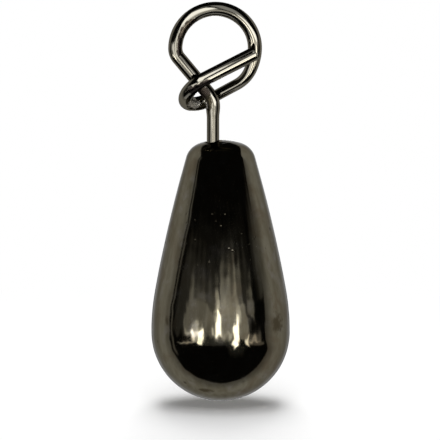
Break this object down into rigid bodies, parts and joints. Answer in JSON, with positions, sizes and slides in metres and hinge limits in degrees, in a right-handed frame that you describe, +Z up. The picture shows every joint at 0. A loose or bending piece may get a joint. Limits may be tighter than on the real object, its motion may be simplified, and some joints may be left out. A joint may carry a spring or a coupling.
{
  "type": "fishing sinker",
  "caption": "Pear-shaped metal fishing sinker that swivels on a bent wire line clip with a round eye and an open gate for the line.",
  "frame": {"origin": "centre of the line clip's eye, in the plane of the stem", "axes": "+Z up along the stem, away from the weight; +X across the eye towards the gate's free end; +Y through the eye, away from the side that the gate is on"},
  "size_m": [0.0087, 0.0086, 0.0252],
  "materials": {
    "clip_wire": "polished black nickel plating on steel wire",
    "weight_plating": "polished black nickel plating on tungsten alloy",
    "bush_metal": "turned brass, black nickel plated"
  },
  "bodies": {
    "clip": {"line_clip": "clip_wire"},
    "weight": {"sinker_body": "weight_plating", "swivel_bush": "bush_metal"}
  },
  "joints": [
    {"name": "swivel", "type": "hinge", "parent": "clip", "child": "weight", "pos_m": [-0.00013, 0, -0.0069], "axis": [0, 0, 1], "continuous": true}
  ]
}
